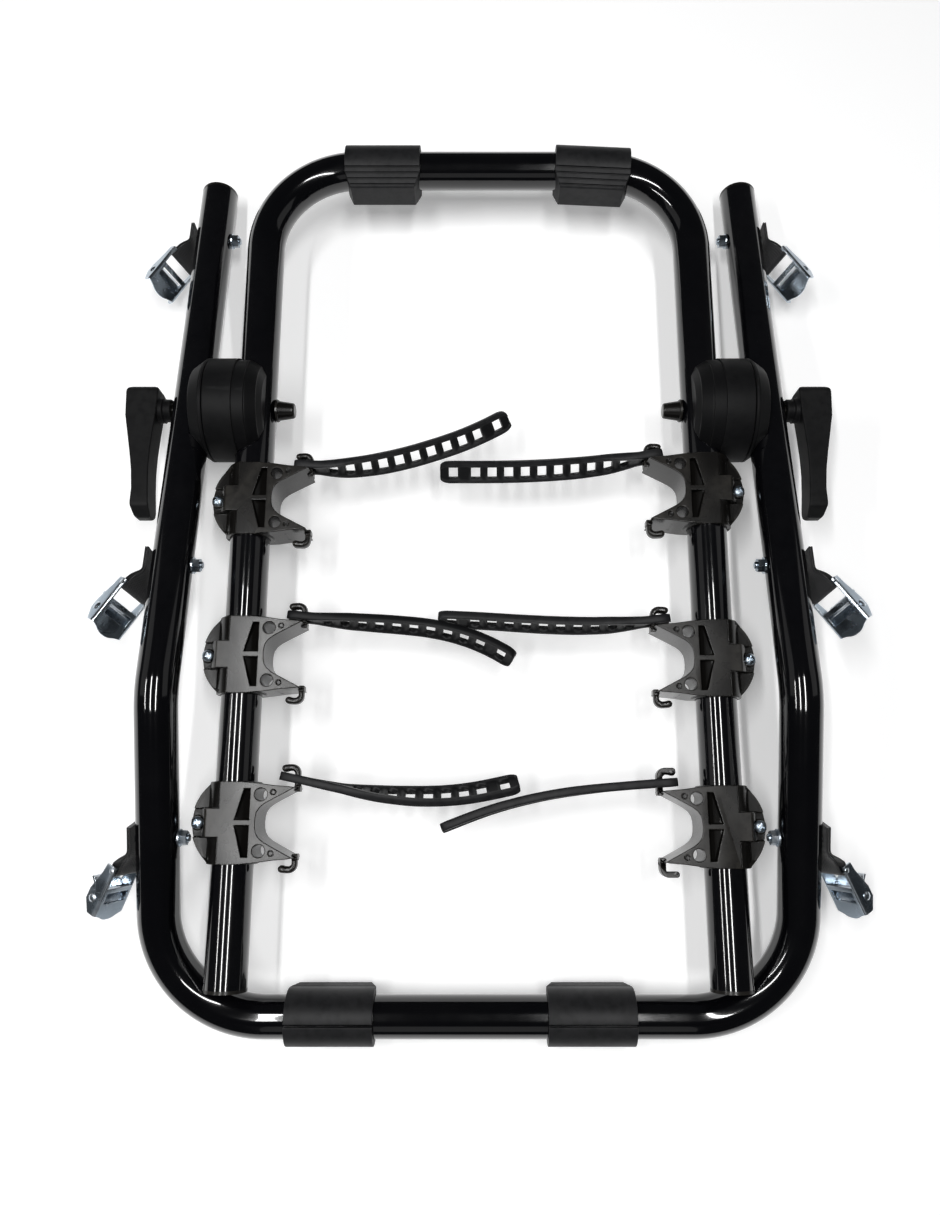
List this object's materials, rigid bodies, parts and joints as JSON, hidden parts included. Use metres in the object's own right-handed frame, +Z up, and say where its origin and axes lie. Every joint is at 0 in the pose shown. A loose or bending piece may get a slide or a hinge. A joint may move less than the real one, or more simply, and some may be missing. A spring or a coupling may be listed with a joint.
{
  "type": "trunk bike rack",
  "caption": "Folding boot-mounted bicycle carrier: crossed U-shaped tube frames on a clamped hinge, swivelling cradles with rubber straps, rubber pads and cam buckles on webbing.",
  "frame": {"origin": "middle of the footprint on the ground, with the rack folded flat as in the picture", "axes": "+X to the right side seen from above with the top bar away from the viewer, +Y along the legs towards the top bar, +Z up from the ground"},
  "size_m": [0.5992, 0.7577, 0.1072],
  "materials": {
    "frame_paint": "gloss black powder coat",
    "black_plastic": "matt moulded, fine grain",
    "black_rubber": "matt rubber",
    "zinc_steel": "bright zinc plate",
    "black_webbing": "woven polyester"
  },
  "bodies": {
    "outer_rack": {"outer_frame": "frame_paint", "outer_plug_left": "black_plastic", "outer_plug_right": "black_plastic", "hub_outer_left": "black_plastic", "hub_outer_right": "black_plastic", "pivot_bolt_left": "frame_paint", "pivot_bolt_right": "frame_paint", "pad_bottom_left": "black_rubber", "pad_bottom_right": "black_rubber", "clip_bolt_left_1": "zinc_steel", "clip_bolt_left_2": "zinc_steel", "clip_bolt_left_3": "zinc_steel", "clip_bolt_right_1": "zinc_steel", "clip_bolt_right_2": "zinc_steel", "clip_bolt_right_3": "zinc_steel"},
    "inner_rack": {"inner_frame": "frame_paint", "inner_plug_left": "black_plastic", "inner_plug_right": "black_plastic", "hub_inner_left": "black_plastic", "hub_inner_right": "black_plastic", "pad_top_left": "black_rubber", "pad_top_right": "black_rubber"},
    "clamp_lever_left": {"lever_left": "black_plastic"},
    "clamp_lever_right": {"lever_right": "black_plastic"},
    "cradle_arm_left_1": {"cradle_left_1": "black_plastic", "screw_left_1": "zinc_steel"},
    "strap_band_left_1": {"strap_left_1": "black_rubber"},
    "cradle_arm_left_2": {"cradle_left_2": "black_plastic", "screw_left_2": "zinc_steel"},
    "strap_band_left_2": {"strap_left_2": "black_rubber"},
    "cradle_arm_left_3": {"cradle_left_3": "black_plastic", "screw_left_3": "zinc_steel"},
    "strap_band_left_3": {"strap_left_3": "black_rubber"},
    "cradle_arm_right_1": {"cradle_right_1": "black_plastic", "screw_right_1": "zinc_steel"},
    "strap_band_right_1": {"strap_right_1": "black_rubber"},
    "cradle_arm_right_2": {"cradle_right_2": "black_plastic", "screw_right_2": "zinc_steel"},
    "strap_band_right_2": {"strap_right_2": "black_rubber"},
    "cradle_arm_right_3": {"cradle_right_3": "black_plastic", "screw_right_3": "zinc_steel"},
    "strap_band_right_3": {"strap_right_3": "black_rubber"},
    "webbing_left_1": {"clip_loop_left_1": "black_webbing"},
    "buckle_body_left_1": {"buckle_left_1": "zinc_steel"},
    "buckle_cam_left_1": {"cam_left_1": "zinc_steel"},
    "webbing_left_2": {"clip_loop_left_2": "black_webbing"},
    "buckle_body_left_2": {"buckle_left_2": "zinc_steel"},
    "buckle_cam_left_2": {"cam_left_2": "zinc_steel"},
    "webbing_left_3": {"clip_loop_left_3": "black_webbing"},
    "buckle_body_left_3": {"buckle_left_3": "zinc_steel"},
    "buckle_cam_left_3": {"cam_left_3": "zinc_steel"},
    "webbing_right_1": {"clip_loop_right_1": "black_webbing"},
    "buckle_body_right_1": {"buckle_right_1": "zinc_steel"},
    "buckle_cam_right_1": {"cam_right_1": "zinc_steel"},
    "webbing_right_2": {"clip_loop_right_2": "black_webbing"},
    "buckle_body_right_2": {"buckle_right_2": "zinc_steel"},
    "buckle_cam_right_2": {"cam_right_2": "zinc_steel"},
    "webbing_right_3": {"clip_loop_right_3": "black_webbing"},
    "buckle_body_right_3": {"buckle_right_3": "zinc_steel"},
    "buckle_cam_right_3": {"cam_right_3": "zinc_steel"}
  },
  "joints": [
    {"name": "frame_fold", "type": "hinge", "parent": "outer_rack", "child": "inner_rack", "pos_m": [0, 0.12546, 0.05524], "axis": [-1, 0, 0], "range_deg": [0, 105]},
    {"name": "lever_turn_left", "type": "hinge", "parent": "outer_rack", "child": "clamp_lever_left", "pos_m": [-0.272, 0.12546, 0.05524], "axis": [1, 0, 0], "continuous": true},
    {"name": "lever_turn_right", "type": "hinge", "parent": "outer_rack", "child": "clamp_lever_right", "pos_m": [0.272, 0.12546, 0.05524], "axis": [1, 0, 0], "continuous": true},
    {"name": "cradle_swivel_left_1", "type": "hinge", "parent": "inner_rack", "child": "cradle_arm_left_1", "pos_m": [-0.187, 0.04247, 0.05524], "axis": [0, -1, 0], "range_deg": [0, 90]},
    {"name": "strap_swing_left_1", "type": "hinge", "parent": "cradle_arm_left_1", "child": "strap_band_left_1", "pos_m": [-0.1392, 0.07487, 0.05524], "axis": [0, 0, 1], "range_deg": [0, 5]},
    {"name": "cradle_swivel_left_2", "type": "hinge", "parent": "inner_rack", "child": "cradle_arm_left_2", "pos_m": [-0.187, -0.08553, 0.05524], "axis": [0, -1, 0], "range_deg": [0, 90]},
    {"name": "strap_swing_left_2", "type": "hinge", "parent": "cradle_arm_left_2", "child": "strap_band_left_2", "pos_m": [-0.1392, -0.05314, 0.05524], "axis": [0, 0, 1], "range_deg": [-5, 0]},
    {"name": "cradle_swivel_left_3", "type": "hinge", "parent": "inner_rack", "child": "cradle_arm_left_3", "pos_m": [-0.187, -0.21354, 0.05524], "axis": [0, -1, 0], "range_deg": [0, 90]},
    {"name": "strap_swing_left_3", "type": "hinge", "parent": "cradle_arm_left_3", "child": "strap_band_left_3", "pos_m": [-0.1392, -0.18113, 0.05524], "axis": [0, 0, 1], "range_deg": [0, 5]},
    {"name": "cradle_swivel_right_1", "type": "hinge", "parent": "inner_rack", "child": "cradle_arm_right_1", "pos_m": [0.187, 0.05097, 0.05524], "axis": [0, 1, 0], "range_deg": [0, 90]},
    {"name": "strap_swing_right_1", "type": "hinge", "parent": "cradle_arm_right_1", "child": "strap_band_right_1", "pos_m": [0.1392, 0.08336, 0.05524], "axis": [0, 0, 1], "range_deg": [0, 5]},
    {"name": "cradle_swivel_right_2", "type": "hinge", "parent": "inner_rack", "child": "cradle_arm_right_2", "pos_m": [0.187, -0.08854, 0.05524], "axis": [0, 1, 0], "range_deg": [0, 90]},
    {"name": "strap_swing_right_2", "type": "hinge", "parent": "cradle_arm_right_2", "child": "strap_band_right_2", "pos_m": [0.1392, -0.05613, 0.05524], "axis": [0, 0, 1], "range_deg": [-5, 0]},
    {"name": "cradle_swivel_right_3", "type": "hinge", "parent": "inner_rack", "child": "cradle_arm_right_3", "pos_m": [0.187, -0.21654, 0.05524], "axis": [0, 1, 0], "range_deg": [0, 90]},
    {"name": "strap_swing_right_3", "type": "hinge", "parent": "cradle_arm_right_3", "child": "strap_band_right_3", "pos_m": [0.1392, -0.18413, 0.05524], "axis": [0, 0, 1], "range_deg": [0, 5]},
    {"name": "webbing_swing_left_1", "type": "hinge", "parent": "outer_rack", "child": "webbing_left_1", "pos_m": [-0.242, 0.30488, 0.02779], "axis": [1, 0, 0], "range_deg": [0, 15]},
    {"name": "buckle_swing_left_1", "type": "hinge", "parent": "webbing_left_1", "child": "buckle_body_left_1", "pos_m": [-0.26746, 0.28198, 0.03129], "axis": [0.4937, -0.3849, -0.7798], "range_deg": [-12, 12]},
    {"name": "cam_open_left_1", "type": "hinge", "parent": "buckle_body_left_1", "child": "buckle_cam_left_1", "pos_m": [-0.28374, 0.26203, 0.03084], "axis": [0.4937, -0.3849, -0.7798], "range_deg": [0, 35], "stiffness_Nm_per_rad": 0.02},
    {"name": "webbing_swing_left_2", "type": "hinge", "parent": "outer_rack", "child": "webbing_left_2", "pos_m": [-0.242, -0.01549, 0.07681], "axis": [1, 0, 0], "range_deg": [0, 15]},
    {"name": "buckle_swing_left_2", "type": "hinge", "parent": "webbing_left_2", "child": "buckle_body_left_2", "pos_m": [-0.26822, -0.03799, 0.08026], "axis": [0.4542, -0.3981, -0.797], "range_deg": [-12, 12]},
    {"name": "cam_open_left_2", "type": "hinge", "parent": "buckle_body_left_2", "child": "buckle_cam_left_2", "pos_m": [-0.28561, -0.05699, 0.07984], "axis": [0.4542, -0.3981, -0.797], "range_deg": [0, 35], "stiffness_Nm_per_rad": 0.02},
    {"name": "webbing_swing_left_3", "type": "hinge", "parent": "outer_rack", "child": "webbing_left_3", "pos_m": [-0.242, -0.22475, 0.0641], "axis": [1, 0, 0], "range_deg": [0, 15]},
    {"name": "buckle_swing_left_3", "type": "hinge", "parent": "webbing_left_3", "child": "buckle_body_left_3", "pos_m": [-0.26642, -0.24758, 0.05799], "axis": [0.3716, 0.0766, -0.9252], "range_deg": [-12, 12]},
    {"name": "cam_open_left_3", "type": "hinge", "parent": "buckle_body_left_3", "child": "buckle_cam_left_3", "pos_m": [-0.28176, -0.26676, 0.05024], "axis": [0.3716, 0.0766, -0.9252], "range_deg": [0, 35], "stiffness_Nm_per_rad": 0.02},
    {"name": "webbing_swing_right_1", "type": "hinge", "parent": "outer_rack", "child": "webbing_right_1", "pos_m": [0.242, 0.30488, 0.02779], "axis": [1, 0, 0], "range_deg": [0, 15]},
    {"name": "buckle_swing_right_1", "type": "hinge", "parent": "webbing_right_1", "child": "buckle_body_right_1", "pos_m": [0.26797, 0.28225, 0.03125], "axis": [0.4967, 0.4074, 0.7663], "range_deg": [-12, 12]},
    {"name": "cam_open_right_1", "type": "hinge", "parent": "buckle_body_right_1", "child": "buckle_cam_right_1", "pos_m": [0.28487, 0.26282, 0.03063], "axis": [0.4967, 0.4074, 0.7663], "range_deg": [0, 35], "stiffness_Nm_per_rad": 0.02},
    {"name": "webbing_swing_right_2", "type": "hinge", "parent": "outer_rack", "child": "webbing_right_2", "pos_m": [0.242, -0.01549, 0.07681], "axis": [1, 0, 0], "range_deg": [0, 15]},
    {"name": "buckle_swing_right_2", "type": "hinge", "parent": "webbing_right_2", "child": "buckle_body_right_2", "pos_m": [0.26896, -0.03755, 0.08019], "axis": [0.4636, 0.4345, 0.7722], "range_deg": [-12, 12]},
    {"name": "cam_open_right_2", "type": "hinge", "parent": "buckle_body_right_2", "child": "buckle_cam_right_2", "pos_m": [0.2872, -0.05572, 0.07946], "axis": [0.4636, 0.4345, 0.7722], "range_deg": [0, 35], "stiffness_Nm_per_rad": 0.02},
    {"name": "webbing_swing_right_3", "type": "hinge", "parent": "outer_rack", "child": "webbing_right_3", "pos_m": [0.242, -0.22475, 0.0641], "axis": [1, 0, 0], "range_deg": [0, 15]},
    {"name": "buckle_swing_right_3", "type": "hinge", "parent": "webbing_right_3", "child": "buckle_body_right_3", "pos_m": [0.26695, -0.24736, 0.05805], "axis": [0.394, -0.047, 0.9179], "range_deg": [-12, 12]},
    {"name": "cam_open_right_3", "type": "hinge", "parent": "buckle_body_right_3", "child": "buckle_cam_right_3", "pos_m": [0.28292, -0.266, 0.05024], "axis": [0.394, -0.047, 0.9179], "range_deg": [0, 35], "stiffness_Nm_per_rad": 0.02}
  ]
}
